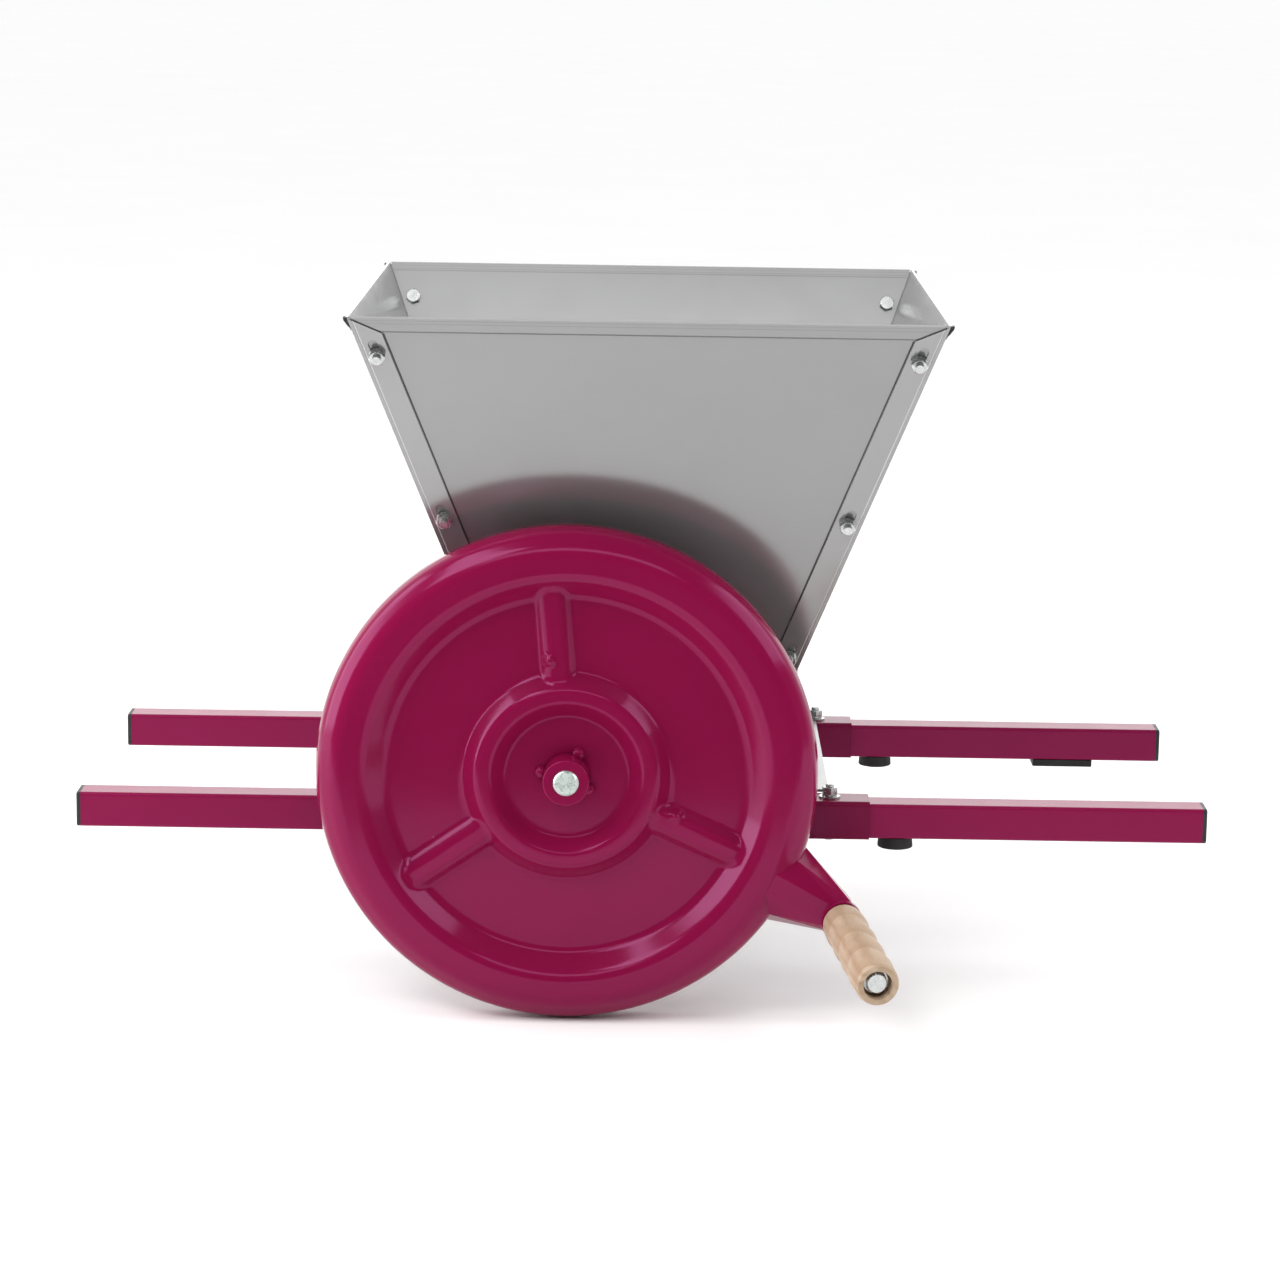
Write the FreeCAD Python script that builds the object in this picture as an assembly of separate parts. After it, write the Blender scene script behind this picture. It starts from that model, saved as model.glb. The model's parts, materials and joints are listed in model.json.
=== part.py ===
import FreeCAD, Part
import math
import os
from FreeCAD import Vector as V

os.makedirs("parts", exist_ok=True)

# Hand-cranked fruit crusher: two toothed rollers under a hopper, on two rails.
# Frame: origin midway between the rails, in the plane of the undersides of the
# feet. +X runs along the rails, -Y is the flywheel side, +Z is up. Millimetres.

# ---- driving dimensions ---------------------------------------------------
FOOT_H = 8.0            # height of a rubber foot
FOOT_R = 12.7
FOOT_X = 181.5          # feet, along the rails
TUBE = 25.0             # square tube of the arms
TUBE_T = 1.5
RAIL_Y = 129.0          # centre line of each rail
ARM_IN = 60.0           # inner end of each arm, inside the channel
RAIL_X = 402.0          # half length over the end caps
CAP_T = 3.0
CH_X = 162.0            # half length of a centre channel
CH_T = 2.0
CH_GAP = 0.3            # side gap between the channel and the arm
RB_X = (96.0, 134.0)    # rail bolts, along the rail
SHAFT_X = 52.5          # half the distance between the roller shafts
SHAFT_Z = 60.8
SHAFT_R = 9.0
BUSH_FIT = 0.05         # radial running clearance in the bushes
RIM_Z = 380.5           # hopper rim
RIM_HX = 204.7          # half sizes of the rim
RIM_HY = 197.0
SLOPE_X = 0.368         # lean of the left and right walls
SLOPE_Y = 0.36          # lean of the front and back walls
SHEET = 1.3             # hopper sheet
HOP_Z0 = 118.0          # foot of the sloping walls
SKIRT_Z0 = 100.0
HEM = 9.5
FLANGE_W = 20.0
PLATE_Y = 103.0         # inner face of the bearing plates
PLATE_T = 3.0
WALL_X = 108.6          # inner face of the side walls
WALL_T = 2.0
BOX_Z0 = 2.0
BOX_Z1 = 116.0
ROLL_Y = 92.0           # half length of a roller
CORE_R = 34.0
TIP_R = 52.0
DISC_T = 6.0
GEAR_M = 5.0            # module
GEAR_Z = 21
GEAR_Y0 = 150.0
GEAR_Y1 = 162.0
COVER_X = 125.0         # screws of the gear cover, into the back rail
COVER_Z = 21.5
POST_Z = 104.0          # spacer between the back plate and the gear cover
WHEEL_Y = -172.0        # plane of the flywheel's largest radius
WHEEL_R = 176.0
HANDLE_BASE = V(141.8, -198.0, -38.4)
HANDLE_TIP = V(159.6, -328.0, -45.4)

Z0 = FOOT_H             # underside of the rails
Z1 = FOOT_H + TUBE      # top of the arms
ZC = Z1 + CH_T          # top of the channels


# ---- helpers --------------------------------------------------------------
def box(x0, x1, y0, y1, z0, z1):
    return Part.makeBox(x1 - x0, y1 - y0, z1 - z0, V(x0, y0, z0))


def cyl(p, d, r, h):
    return Part.makeCylinder(r, h, V(*p), V(*d))


def ycyl(x, z, r, y0, y1):
    return Part.makeCylinder(r, y1 - y0, V(x, y0, z), V(0, 1, 0))


def prism(pts, vec):
    w = Part.makePolygon([V(*p) for p in pts] + [V(*pts[0])])
    return Part.Face(w).extrude(V(*vec))


def axes_of(d):
    d = V(*d)
    d.normalize()
    u = V(0, 0, 1) if abs(d.z) < 0.9 else V(1, 0, 0)
    u = u - d * u.dot(d)
    u.normalize()
    return d, u, d.cross(u)


def hexagon(p, d, af, h, turn=0.0):
    # hexagonal prism with its base at p, along d, with chamfered corners
    d, u, v = axes_of(d)
    p = V(*p)
    r = af / math.sqrt(3)
    pts = []
    for i in range(6):
        a = math.radians(60 * i + turn)
        pts.append(p + u * (r * math.cos(a)) + v * (r * math.sin(a)))
    s = Part.Face(Part.makePolygon(pts + [pts[0]])).extrude(d * h)
    c = Part.makeCone(r + h * 1.6, af / 2 * 0.96, h * 1.0, p, d)
    return s.common(c) if h > 2 else s


def round_path(pts, closed=True):
    # pts: (a, b, radius); returns ordered 2-D pieces with rounded corners
    n = len(pts)
    corners = []
    for i in range(n):
        a, b, r = pts[i]
        if r <= 0:
            corners.append(((a, b), None, (a, b)))
            continue
        pa, pb = pts[i - 1][:2]
        na, nb = pts[(i + 1) % n][:2]
        l1 = math.hypot(pa - a, pb - b)
        l2 = math.hypot(na - a, nb - b)
        u1 = ((pa - a) / l1, (pb - b) / l1)
        u2 = ((na - a) / l2, (nb - b) / l2)
        c = max(-1.0, min(1.0, u1[0] * u2[0] + u1[1] * u2[1]))
        half = math.acos(c) / 2
        t = min(r / math.tan(half), 0.49 * l1, 0.49 * l2)
        r = t * math.tan(half)
        s = (a + u1[0] * t, b + u1[1] * t)
        e = (a + u2[0] * t, b + u2[1] * t)
        m = (u1[0] + u2[0], u1[1] + u2[1])
        lm = math.hypot(*m)
        dc = r / math.sin(half)
        cen = (a + m[0] / lm * dc, b + m[1] / lm * dc)
        mid = (cen[0] - m[0] / lm * r, cen[1] - m[1] / lm * r)
        corners.append((s, mid, e))
    return corners


def path_face(pts, to3d):
    cs = round_path(pts)
    edges = []
    n = len(cs)
    for i in range(n):
        s, mid, e = cs[i]
        if mid is not None:
            edges.append(Part.Arc(to3d(*s), to3d(*mid), to3d(*e)).toShape())
        nx = cs[(i + 1) % n][0]
        if math.hypot(nx[0] - e[0], nx[1] - e[1]) > 1e-6:
            edges.append(Part.LineSegment(to3d(*e), to3d(*nx)).toShape())
    return Part.Face(Part.Wire(edges))


def revolve_y(pts, ax, az):
    # pts: (radius, y, corner radius) revolved about the Y line through ax, az
    f = path_face(pts, lambda r, y: V(ax + r, y, az))
    return f.revolve(V(ax, 0, az), V(0, 1, 0), 360)


def rrect(y0, y1, z0, z1, r, x0, x1):
    f = path_face([(y0, z0, r), (y1, z0, r), (y1, z1, r), (y0, z1, r)],
                  lambda y, z: V(x0, y, z))
    return f.extrude(V(x1 - x0, 0, 0))


def save(name, solids):
    if not isinstance(solids, (list, tuple)):
        solids = [solids]
    out = []
    for s in solids:
        s = s.removeSplitter()
        out.extend(s.Solids)
    shape = out[0] if len(out) == 1 else Part.makeCompound(out)
    bad = [i for i, s in enumerate(out) if not s.isValid()]
    bb = shape.BoundBox
    print("%-26s solids %3d faces %4d vol %10.0f  x %7.1f %7.1f  y %7.1f %7.1f  z %7.1f %7.1f%s" % (
        name, len(out), len(shape.Faces), shape.Volume, bb.XMin, bb.XMax,
        bb.YMin, bb.YMax, bb.ZMin, bb.ZMax, "  INVALID %s" % bad if bad else ""))
    shape.exportStep("parts/%s.step" % name)


def washer(p, d, r0, r1, h):
    d = V(*d)
    p = V(*p)
    return Part.makeCylinder(r1, h, p, d).cut(Part.makeCylinder(r0, h + 2, p - d, d))


# ---- rails ----------------------------------------------------------------
def arm(side, sy):
    x0, x1 = (ARM_IN, RAIL_X - CAP_T)
    yc = sy * RAIL_Y
    h = TUBE / 2
    t = rrect(yc - h, yc + h, Z0, Z1, 2.2, x0, x1)
    t = t.cut(rrect(yc - h + TUBE_T, yc + h - TUBE_T, Z0 + TUBE_T, Z1 - TUBE_T, 0.8, x0 - 1, x1 + 1))
    for x in RB_X:
        t = t.cut(cyl((x, yc, Z0 - 1), (0, 0, 1), 3.3, TUBE + 2))
    t = t.cut(cyl((FOOT_X, yc, Z0 - 1), (0, 0, 1), 2.6, 4))
    if sy > 0:
        t = t.cut(cyl((COVER_X, yc + h - 4, COVER_Z), (0, 1, 0), 2.6, 8))
    if side < 0:
        t = t.mirror(V(0, 0, 0), V(1, 0, 0))
    return t


for sy, nm in ((-1, "front"), (1, "back")):
    for sx, nn in ((-1, "left"), (1, "right")):
        save("arm_%s_%s" % (nm, nn), arm(sx, sy))

for sy, nm in ((-1, "front"), (1, "back")):
    yc = sy * RAIL_Y
    ho = TUBE / 2 + CH_GAP + CH_T
    hi = TUBE / 2 + CH_GAP
    c = path_face([(yc - ho, Z0, 0), (yc + ho, Z0, 0), (yc + ho, ZC, 3.0), (yc - ho, ZC, 3.0)],
                  lambda y, z: V(-CH_X, y, z)).extrude(V(2 * CH_X, 0, 0))
    c = c.cut(path_face([(yc - hi, Z0 - 1, 0), (yc + hi, Z0 - 1, 0), (yc + hi, Z1, 1.0), (yc - hi, Z1, 1.0)],
                        lambda y, z: V(-CH_X - 1, y, z)).extrude(V(2 * CH_X + 2, 0, 0)))
    for x in RB_X:
        for s in (-1, 1):
            c = c.cut(cyl((s * x, yc, Z1 - 1), (0, 0, 1), 3.3, 5))
    if sy > 0:
        for s in (-1, 1):
            c = c.cut(cyl((s * COVER_X, yc + 10, COVER_Z), (0, 1, 0), 2.6, 8))
    save("channel_%s" % nm, c)

caps = []
for sx in (-1, 1):
    for sy in (-1, 1):
        yc = sy * RAIL_Y
        h = TUBE / 2
        f = rrect(yc - h, yc + h, Z0, Z1, 2.4, RAIL_X - CAP_T, RAIL_X)
        f = f.makeFillet(1.0, [e for e in f.Edges if abs(e.BoundBox.XMin - RAIL_X) < 1e-6 and abs(e.BoundBox.XMax - RAIL_X) < 1e-6])
        g = rrect(yc - h + 1.9, yc + h - 1.9, Z0 + 1.9, Z1 - 1.9, 1.5, RAIL_X - CAP_T - 16, RAIL_X - CAP_T)
        g = g.cut(rrect(yc - h + 4, yc + h - 4, Z0 + 4, Z1 - 4, 1.0, RAIL_X - CAP_T - 17, RAIL_X - CAP_T))
        s = f.fuse(g)
        if sx < 0:
            s = s.mirror(V(0, 0, 0), V(1, 0, 0))
        caps.append(s)
save("arm_end_caps", caps)

feet, fscr = [], []
for sx in (-1, 1):
    for sy in (-1, 1):
        x, yc = sx * FOOT_X, sy * RAIL_Y
        f = path_face([(0, 0, 0), (FOOT_R, 0, 0.8), (FOOT_R - 0.6, Z0, 0.5), (0, Z0, 0)],
                      lambda r, z: V(x + r, yc, z)).revolve(V(x, yc, 0), V(0, 0, 1), 360)
        f = f.cut(cyl((x, yc, -1), (0, 0, 1), 5.5, 5)).cut(cyl((x, yc, 3), (0, 0, 1), 2.6, 8))
        feet.append(f)
        s = cyl((x, yc, 4.0), (0, 0, 1), 2.5, 12.0).fuse(
            Part.makeCone(3.4, 4.8, 2.6, V(x, yc, 1.4), V(0, 0, 1)))
        s = s.cut(box(x - 3, x + 3, yc - 0.5, yc + 0.5, 1.0, 2.4))
        fscr.append(s)
save("rubber_feet", feet)
save("foot_screws", fscr)
pad = box(304.0, 350.0, RAIL_Y - 12.3, RAIL_Y + 12.3, Z0 - 5.0, Z0)
pad = pad.makeFillet(1.5, [e for e in pad.Edges if abs(e.BoundBox.ZMax - e.BoundBox.ZMin) > 4])
save("rest_pad", pad)

bolts, washers, springs, nuts = [], [], [], []
for sx in (-1, 1):
    for sy in (-1, 1):
        for x in RB_X:
            base = ZC + (3.0 if x == RB_X[0] else 0.0)
            px, py = sx * x, sy * RAIL_Y
            b = cyl((px, py, Z0 - 0.5), (0, 0, 1), 3.0, base - Z0 + 0.5 + 9.8)
            b = b.makeChamfer(0.6, [e for e in b.Edges if e.BoundBox.ZMin > base + 9])
            hd = Part.makeSphere(6.4, V(px, py, Z0 + 1.9)).common(box(px - 7, px + 7, py - 7, py + 7, Z0 - 4.3, Z0))
            b = b.fuse(hd).cut(hexagon((px, py, Z0 - 4.7), (0, 0, 1), 4.0, 2.2))
            bolts.append(b)
            washers.append(washer((px, py, base), (0, 0, 1), 3.2, 7.6, 1.2))
            sp = washer((px, py, base + 1.2), (0, 0, 1), 3.1, 5.3, 1.5)
            sp = sp.cut(box(px + 1, px + 7, py - 0.5, py + 0.5, base + 1, base + 3))
            springs.append(sp)
            nuts.append(hexagon((px, py, base + 2.7), (0, 0, 1), 10.0, 5.0, 12 + 25 * sx).cut(
                cyl((px, py, base), (0, 0, 1), 3.0, 10)))
save("rail_bolts", bolts)
save("rail_washers", washers)
save("rail_spring_washers", springs)
save("rail_nuts", nuts)


# ---- hopper ---------------------------------------------------------------
def hx(z):
    return RIM_HX - SLOPE_X * (RIM_Z - z)


def hy(z):
    return RIM_HY - SLOPE_Y * (RIM_Z - z)


NY = V(0, 1, SLOPE_Y)       # inward normal of the front wall
NY.normalize()
NX = V(1, 0, SLOPE_X)       # inward normal of the left wall
NX.normalize()
TZ_Y = SHEET / NY.y         # sheet thickness measured along Y
TZ_X = SHEET / NX.x


def on_front(x, z, out=0.0):
    return V(x, -hy(z), z) - NY * out


def on_left(y, z, out=0.0):
    return V(-hx(z), y, z) - NX * out


def sheet(pts, vec):
    return Part.Face(Part.makePolygon(pts + [pts[0]])).extrude(vec)


# the front panel lies between the side walls; its hem is folded outwards
g = TZ_X + 0.5
front = sheet([on_front(-hx(HOP_Z0) + g, HOP_Z0), on_front(hx(HOP_Z0) - g, HOP_Z0),
               on_front(hx(RIM_Z) - g, RIM_Z), on_front(-hx(RIM_Z) + g, RIM_Z)], NY * SHEET)
c = FLANGE_W + 0.6
hem = sheet([on_front(-hx(RIM_Z) + 3.4, RIM_Z), on_front(-hx(RIM_Z - HEM) + c, RIM_Z - HEM),
             on_front(hx(RIM_Z - HEM) - c, RIM_Z - HEM), on_front(hx(RIM_Z) - 3.4, RIM_Z)], -NY * SHEET)
skirt = box(-hx(HOP_Z0) + 3.0, hx(HOP_Z0) - 3.0, -hy(HOP_Z0), -hy(HOP_Z0) + SHEET, SKIRT_Z0, HOP_Z0 + 0.3)
front = front.fuse([hem, skirt])

# a side panel: the wall, and a flange round each upright edge
left = sheet([on_left(-hy(HOP_Z0) - TZ_Y, HOP_Z0), on_left(hy(HOP_Z0) + TZ_Y, HOP_Z0),
              on_left(hy(RIM_Z) + TZ_Y, RIM_Z), on_left(-hy(RIM_Z) - TZ_Y, RIM_Z)], NX * SHEET)
lhem = sheet([on_left(-hy(RIM_Z) + 3.0, RIM_Z), on_left(-hy(RIM_Z - HEM) + 3.0, RIM_Z - HEM),
              on_left(hy(RIM_Z - HEM) - 3.0, RIM_Z - HEM), on_left(hy(RIM_Z) - 3.0, RIM_Z)], -NX * SHEET)
zf = 122.0
w = FLANGE_W
fl = sheet([on_front(-hx(zf), zf, 0.02), on_front(-hx(zf) + w, zf, 0.02), on_front(-hx(RIM_Z - HEM) + w, RIM_Z - HEM - 1.2, 0.02),
            on_front(-hx(RIM_Z) + 1.0, RIM_Z - 1.0, 0.02), on_front(-hx(RIM_Z - 1.0), RIM_Z - 1.0, 0.02)], -NY * SHEET)
fl2 = fl.mirror(V(0, 0, 0), V(0, 1, 0))
lsk = box(-hx(HOP_Z0), -hx(HOP_Z0) + SHEET, -hy(HOP_Z0) + 3.0, hy(HOP_Z0) - 3.0, SKIRT_Z0, HOP_Z0 + 0.3)
left = left.fuse([lhem, fl, fl2, lsk])

# corner bolts: head inside, washer and nut outside, square to the front wall
CB_Z = (354.5, 235.3, 133.0)
SLOT_L = 8.5
edge_dir = on_front(-hx(RIM_Z), RIM_Z) - on_front(-hx(HOP_Z0), HOP_Z0)
edge_dir.normalize()
cb, cn, cw = [], [], []
for z in CB_Z:
    for sx in (-1, 1):
        p = on_front(sx * (hx(z) - FLANGE_W / 2 - 0.5), z)
        hole = Part.makeCylinder(3.3, 12, p - NY * 6, NY)
        front = front.cut(hole)
        if sx < 0:
            # the flange has a slot that runs up from the bolt
            q = p + edge_dir * SLOT_L
            sl = Part.makeCylinder(3.3, 12, q - NY * 12, NY).fuse(Part.makeCylinder(3.3, 12, p - NY * 12, NY))
            sd_ = edge_dir.cross(NY) * 3.3
            o = p - NY * 12
            sl = sl.fuse(Part.Face(Part.makePolygon([o + sd_, o + sd_ + edge_dir * SLOT_L, o - sd_ + edge_dir * SLOT_L, o - sd_, o + sd_])).extrude(NY * 12))
            left = left.cut(sl).cut(sl.mirror(V(0, 0, 0), V(0, 1, 0)))
        inner = p + NY * SHEET
        outer = p - NY * (SHEET + 0.02)
        bolt = Part.makeCylinder(3.0, SHEET * 2 + 9.5, inner, -NY)
        bolt = bolt.fuse(hexagon(tuple(inner), tuple(NY), 10.0, 4.0, 10))
        nut = hexagon(tuple(outer - NY * 1.0), tuple(-NY), 10.0, 5.0, 20 * sx).cut(
            Part.makeCylinder(3.0, 20, p, -NY))
        wsh = Part.makeCylinder(5.5, 1.0, outer, -NY).cut(Part.makeCylinder(3.2, 20, p + NY * 5, -NY))
        for s, lst in ((bolt, cb), (nut, cn), (wsh, cw)):
            lst.append(s)
            lst.append(s.mirror(V(0, 0, 0), V(0, 1, 0)))

# skirt bolts: button head outside, nut inside
SB_Z = 108.0
sb, sn = [], []


def button(p, d, length, r=3.0, hr=5.2, hh=2.6):
    # pan-head screw: the head's underside at p, the shank along d
    d, u, v = axes_of(d)
    p = V(*p)
    b = Part.makeCylinder(r, length, p, d)
    rs = (hr * hr + hh * hh) / (2 * hh)
    cap = Part.makeSphere(rs, p - d * (hh - rs)).common(Part.makeCylinder(hr, hh, p - d * hh, d))
    b = b.fuse(cap)
    s = hexagon(tuple(p - d * (hh + 0.2)), tuple(d), r * 1.33, 1.7)
    return b.cut(s)


back_plate_cut, side_cut = [], []
for sx in (-1, 1):
    p = (sx * 62.0, -PLATE_Y - PLATE_T, SB_Z)
    hole = cyl((p[0], -PLATE_Y - 10, SB_Z), (0, 1, 0), 3.3, 20)
    front = front.cut(hole)
    back_plate_cut.append(hole)
    b = button(p, (0, 1, 0), 10.5)
    n = hexagon((p[0], -hy(HOP_Z0) + SHEET, SB_Z), (0, 1, 0), 10.0, 4.0).cut(
        cyl((p[0], -PLATE_Y - 10, SB_Z), (0, 1, 0), 3.0, 30))
    sb += [b, b.mirror(V(0, 0, 0), V(0, 1, 0))]
    sn += [n, n.mirror(V(0, 0, 0), V(0, 1, 0))]
for sy in (-1, 1):
    p = (-WALL_X - WALL_T, sy * 45.0, SB_Z)
    hole = cyl((-WALL_X - 10, p[1], SB_Z), (1, 0, 0), 3.3, 20)
    left = left.cut(hole)
    side_cut.append(hole)
    b = button(p, (1, 0, 0), 9.5)
    n = hexagon((-hx(HOP_Z0) + SHEET, p[1], SB_Z), (1, 0, 0), 10.0, 4.0).cut(
        cyl((-WALL_X - 10, p[1], SB_Z), (1, 0, 0), 3.0, 30))
    sb += [b, b.mirror(V(0, 0, 0), V(1, 0, 0))]
    sn += [n, n.mirror(V(0, 0, 0), V(1, 0, 0))]
save("hopper_front_panel", front)
back = front.mirror(V(0, 0, 0), V(0, 1, 0))
back = back.cut(cyl((0, PLATE_Y - 4, POST_Z), (0, 1, 0), 3.3, 10))
save("hopper_back_panel", back)
save("hopper_left_panel", left)
save("hopper_right_panel", left.mirror(V(0, 0, 0), V(1, 0, 0)))
save("hopper_corner_bolts", cb)
save("hopper_corner_washers", cw)
save("hopper_corner_nuts", cn)
save("hopper_skirt_screws", sb)
save("hopper_skirt_nuts", sn)


# ---- roller housing -------------------------------------------------------
HB = (100.5, 50.0, 88.0)        # housing bolts: x, and the two heights
BUSH_R = 14.0
FL_R = 25.6
BS_R = 21.2                      # pitch radius of the bearing screws
fp = box(-WALL_X - WALL_T, WALL_X + WALL_T, -PLATE_Y - PLATE_T, -PLATE_Y, BOX_Z0, BOX_Z1)
for s in back_plate_cut:
    fp = fp.cut(s)
bs = []                          # bearing screw positions around each shaft
for i in range(3):
    a = math.radians(90 + 120 * i)
    bs.append((BS_R * math.cos(a), BS_R * math.sin(a)))
for sx in (-1, 1):
    fp = fp.cut(ycyl(sx * SHAFT_X, SHAFT_Z, BUSH_R, -PLATE_Y - 5, -PLATE_Y + 1))
    for a, b in bs:
        fp = fp.cut(ycyl(sx * SHAFT_X + a, SHAFT_Z + b, 2.6, -PLATE_Y - 5, -PLATE_Y + 1))
    for z in HB[1:]:
        fp = fp.cut(ycyl(sx * HB[0], z, 3.3, -PLATE_Y - 5, -PLATE_Y + 1))
fp = fp.makeChamfer(0.5, [e for e in fp.Edges if e.Length > 80])
bp = fp.mirror(V(0, 0, 0), V(0, 1, 0))
bp = bp.cut(cyl((0, PLATE_Y - 2, POST_Z), (0, 1, 0), 3.1, 10))
save("bearing_plate_front", fp)
save("bearing_plate_back", bp)

wl = box(-WALL_X - WALL_T, -WALL_X, -PLATE_Y + 0.05, PLATE_Y - 0.05, BOX_Z0, BOX_Z1)
for s in side_cut:
    wl = wl.cut(s)
add = []
for sy in (-1, 1):
    y0, y1 = sorted((sy * (PLATE_Y - 0.05), sy * (PLATE_Y - 0.05 - WALL_T)))
    add.append(box(-WALL_X, -WALL_X + 16.0, y0, y1, 36.0, 98.0))
lip_end = RAIL_Y - TUBE / 2 - CH_GAP - CH_T - 0.6
add.append(box(-134.0, -WALL_X - WALL_T, -lip_end, lip_end, ZC, ZC + 2.0))
add.append(box(-134.0, -132.0, -lip_end, lip_end, ZC - 8.0, ZC))
wl = wl.fuse(add)
for sy in (-1, 1):
    for z in HB[1:]:
        wl = wl.cut(cyl((-HB[0], sy * PLATE_Y - 6, z), (0, 1, 0), 3.3, 12))
save("housing_wall_left", wl)
save("housing_wall_right", wl.mirror(V(0, 0, 0), V(1, 0, 0)))

brk = []
br_y0 = PLATE_Y + PLATE_T
for sx in (-1, 1):
    b = box(86.0, 110.4, -RAIL_Y - 12.0, -br_y0, ZC, ZC + 3.0)
    b = b.fuse(box(86.0, 110.4, -br_y0 - 3.0, -br_y0, ZC, 66.0))
    b = b.cut(cyl((RB_X[0], -RAIL_Y, ZC - 1), (0, 0, 1), 3.3, 6))
    b = b.cut(ycyl(HB[0], HB[1], 3.3, -br_y0 - 5, -br_y0 + 1))
    b = b.removeSplitter()
    b = b.makeFillet(2.5, [e for e in b.Edges if abs(e.BoundBox.YMin + br_y0) < 1e-6 and abs(e.BoundBox.YMax + br_y0) < 1e-6
                           and abs(e.BoundBox.ZMin - ZC) < 1e-6 and abs(e.BoundBox.ZMax - ZC) < 1e-6])
    if sx < 0:
        b = b.mirror(V(0, 0, 0), V(1, 0, 0))
    brk += [b, b.mirror(V(0, 0, 0), V(0, 1, 0))]
save("support_brackets", brk)

hb, hn = [], []
for z in HB[1:]:
    t = 3.0 if z == HB[1] else 0.0
    p = (HB[0], -br_y0 - t, z)
    b = cyl(p, (0, 1, 0), 3.0, t + PLATE_T + WALL_T + 5.8).fuse(hexagon(p, (0, -1, 0), 10.0, 4.0, 15))
    n = hexagon((HB[0], -PLATE_Y + 0.05 + WALL_T, z), (0, 1, 0), 10.0, 4.5).cut(cyl(p, (0, 1, 0), 3.0, 30))
    for s, lst in ((b, hb), (n, hn)):
        m = s.mirror(V(0, 0, 0), V(1, 0, 0))
        lst += [s, m, s.mirror(V(0, 0, 0), V(0, 1, 0)), m.mirror(V(0, 0, 0), V(0, 1, 0))]
save("housing_bolts", hb)
save("housing_nuts", hn)

# bearings: a cast flange outside each plate with a bronze bush in it
all_fl, all_bu, all_sc = [], [], []
for sy in (-1, 1):
    fl_, bu, sc = [], [], []
    for sx in (-1, 1):
        x = sx * SHAFT_X
        f = revolve_y([(BUSH_R, -br_y0, 0), (FL_R, -br_y0, 0), (FL_R, -br_y0 - 5.0, 1.0),
                       (17.0, -br_y0 - 5.0, 0), (16.8, -br_y0 - 11.0, 1.0), (BUSH_R, -br_y0 - 11.0, 0)], x, SHAFT_Z)
        b = revolve_y([(SHAFT_R + BUSH_FIT, -br_y0 - 11.5, 0.4), (BUSH_R, -br_y0 - 11.5, 0.4), (BUSH_R, -PLATE_Y + 1.5, 0.4),
                       (SHAFT_R + BUSH_FIT, -PLATE_Y + 1.5, 0.4)], x, SHAFT_Z)
        for a, c_ in bs:
            f = f.cut(ycyl(x + a, SHAFT_Z + c_, 2.6, -br_y0 - 12, -br_y0 + 1))
            s = ycyl(x + a, SHAFT_Z + c_, 2.5, -br_y0 - 5.0, -PLATE_Y + 1.0)
            s = s.fuse(ycyl(x + a, SHAFT_Z + c_, 3.8, -br_y0 - 8.6, -br_y0 - 5.0))
            s = s.cut(hexagon((x + a, -br_y0 - 9.0, SHAFT_Z + c_), (0, 1, 0), 3.5, 2.4))
            sc.append(s)
        fl_.append(f)
        bu.append(b)
    if sy > 0:
        fl_, bu, sc = [[s.mirror(V(0, 0, 0), V(0, 1, 0)) for s in k] for k in (fl_, bu, sc)]
    all_fl += fl_
    all_bu += bu
    all_sc += sc
save("bearing_flanges", all_fl)
save("bearing_bushes", all_bu)
save("bearing_screws", all_sc)

# ---- gear cover -----------------------------------------------------------
CY0, CY1, CX, CZ0, CZ1 = 146.0, 181.5, 116.0, 2.0, 122.5
cov = path_face([(-CX, CZ0, 0), (CX, CZ0, 0), (CX, CZ1, 26.0), (-CX, CZ1, 26.0)],
                lambda x, z: V(x, CY0, z)).extrude(V(0, CY1 - CY0, 0))
cov = cov.makeFillet(3.0, [e for e in cov.Edges if abs(e.BoundBox.YMin - CY1) < 1e-6 and abs(e.BoundBox.YMax - CY1) < 1e-6 and e.BoundBox.ZMax > CZ0 + 1])
cav = path_face([(-CX + 1.5, CZ0 - 1, 0), (CX - 1.5, CZ0 - 1, 0), (CX - 1.5, CZ1 - 1.5, 24.5), (-CX + 1.5, CZ1 - 1.5, 24.5)],
                lambda x, z: V(x, CY0 - 1, z)).extrude(V(0, CY1 - 1.5 - CY0 + 1, 0))
cov = cov.cut(cav)
ch_out = RAIL_Y + TUBE / 2 + CH_GAP + CH_T
for sx in (-1, 1):
    x0, x1 = sorted((sx * (CX - 1.5), sx * (CX + 18.0)))
    ear = box(x0, x1, ch_out, CY0 + 0.0, 11.0, 32.0)
    cov = cov.fuse(ear)
cov = cov.cut(box(-CX + 1.5, CX - 1.5, ch_out - 1, CY0 + 5, 0, 40))
for sx in (-1, 1):
    cov = cov.cut(cyl((sx * COVER_X, ch_out - 5, COVER_Z), (0, 1, 0), 2.6, 10))
cov = cov.cut(cyl((0, CY1 - 5, POST_Z), (0, 1, 0), 3.1, 10))
save("gear_cover", cov)
d, u, v_ = axes_of((0, 1, 0))
so = Part.Face(Part.makePolygon([V(0, PLATE_Y + PLATE_T, POST_Z) + u * (5.77 * math.cos(math.radians(60 * i))) + v_ * (5.77 * math.sin(math.radians(60 * i))) for i in range(6)] +
                                [V(0, PLATE_Y + PLATE_T, POST_Z) + u * 5.77])).extrude(V(0, CY1 - 1.5 - PLATE_Y - PLATE_T, 0))
so = so.cut(cyl((0, PLATE_Y, POST_Z), (0, 1, 0), 3.0, 18)).cut(cyl((0, CY1 - 16, POST_Z), (0, 1, 0), 3.0, 18))
save("cover_standoff", so)
cs = [button((sx * COVER_X, CY0, COVER_Z), (0, -1, 0), 8.0, 2.5, 4.8, 2.5) for sx in (-1, 1)]
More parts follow.
